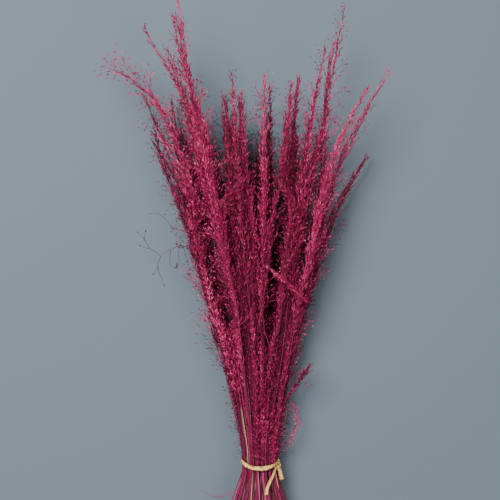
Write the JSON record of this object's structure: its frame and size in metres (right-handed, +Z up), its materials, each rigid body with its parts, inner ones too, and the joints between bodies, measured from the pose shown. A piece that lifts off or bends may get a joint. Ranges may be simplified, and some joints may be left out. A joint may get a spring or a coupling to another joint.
{
  "type": "bundle of dried grass",
  "caption": "Tied bunch of dyed, dried bent grass lying on its side: fine straight stems held by a raffia strip, fanning out into long feathery plumes.",
  "frame": {"origin": "on the surface the bunch lies on, under the middle of its bounding box", "axes": "+Z up, +Y along the bunch from the cut stem ends to the plume tips, +X across it, to the right when seen from above with the tips away"},
  "size_m": [0.311, 0.632, 0.092],
  "materials": {
    "dyed_grass": "dried grass dyed raspberry red, matt with a slight straw sheen on the stems",
    "raffia": "pale dried raffia strip, long fibres, satin on the smooth side, tan along its folded edges"
  },
  "bodies": {
    "root": {"wisp_01": "dyed_grass", "wisp_02": "dyed_grass", "wisp_03": "dyed_grass", "wisp_04": "dyed_grass", "wisp_05": "dyed_grass", "wisp_06": "dyed_grass", "wisp_07": "dyed_grass", "wisp_08": "dyed_grass", "wisp_09": "dyed_grass", "wisp_10": "dyed_grass", "wisp_11": "dyed_grass", "wisp_12": "dyed_grass", "wisp_13": "dyed_grass", "wisp_14": "dyed_grass", "wisp_15": "dyed_grass", "wisp_16": "dyed_grass", "wisp_17": "dyed_grass", "wisp_18": "dyed_grass", "wisp_19": "dyed_grass", "wisp_20": "dyed_grass", "wisp_21": "dyed_grass", "wisp_22": "dyed_grass", "wisp_23": "dyed_grass", "wisp_24": "dyed_grass", "wisp_25": "dyed_grass", "wisp_26": "dyed_grass", "wisp_27": "dyed_grass", "wisp_28": "dyed_grass", "wisp_29": "dyed_grass", "wisp_30": "dyed_grass", "wisp_31": "dyed_grass", "wisp_32": "dyed_grass", "wisp_33": "dyed_grass", "wisp_34": "dyed_grass", "wisp_35": "dyed_grass", "wisp_36": "dyed_grass", "wisp_37": "dyed_grass", "wisp_38": "dyed_grass", "wisp_39": "dyed_grass", "wisp_40": "dyed_grass", "wisp_41": "dyed_grass", "wisp_42": "dyed_grass", "wisp_43": "dyed_grass", "wisp_44": "dyed_grass", "wisp_45": "dyed_grass", "wisp_46": "dyed_grass", "wisp_47": "dyed_grass", "wisp_48": "dyed_grass", "wisp_49": "dyed_grass", "wisp_50": "dyed_grass", "wisp_51": "dyed_grass", "wisp_52": "dyed_grass", "crossing_sprig": "dyed_grass", "side_sprig": "dyed_grass", "drooping_sprig": "dyed_grass", "fine_spray": "dyed_grass", "curled_strand": "dyed_grass", "raffia_tie": "raffia"}
  },
  "joints": []
}
